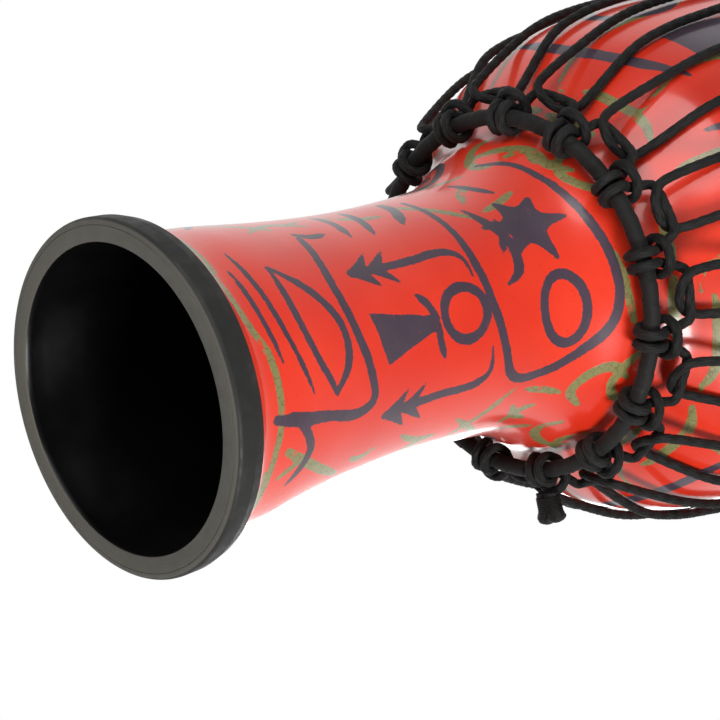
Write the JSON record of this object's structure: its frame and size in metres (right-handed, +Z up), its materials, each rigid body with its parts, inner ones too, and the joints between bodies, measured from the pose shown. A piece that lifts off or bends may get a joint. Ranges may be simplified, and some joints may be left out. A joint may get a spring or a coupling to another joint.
{
  "type": "djembe",
  "caption": "Rope-tuned goblet drum with a moulded shell, rubber foot, wrapped rings, hitched loops and a taut zigzag tension rope.",
  "frame": {"origin": "centre of the foot's bottom plane", "axes": "+Z up along the drum's axis from foot to head, -Y towards the front, where one of the lower hitches sits"},
  "size_m": [0.3628, 0.3607, 0.61],
  "materials": {
    "shell_lacquer": "red lacquer with dark painted motifs and green crackle lines",
    "foot_rubber": "matt moulded",
    "head_film": "textured synthetic skin",
    "ring_steel": "plain rod",
    "ring_wrap": "dark cloth wound round the ring",
    "rope": "braided dark rope"
  },
  "bodies": {
    "root": {"shell": "shell_lacquer", "foot_ring": "foot_rubber", "drumhead": "head_film", "flesh_hoop": "ring_steel", "crown_ring_core": "ring_steel", "crown_ring_wrap": "ring_wrap", "lower_ring_core": "ring_steel", "lower_ring_wrap": "ring_wrap", "crown_loop_rope": "rope", "crown_loop_knot": "rope", "lower_loop_rope": "rope", "lower_loop_knot": "rope", "tension_rope": "rope", "tension_rope_knot": "rope"}
  },
  "joints": []
}
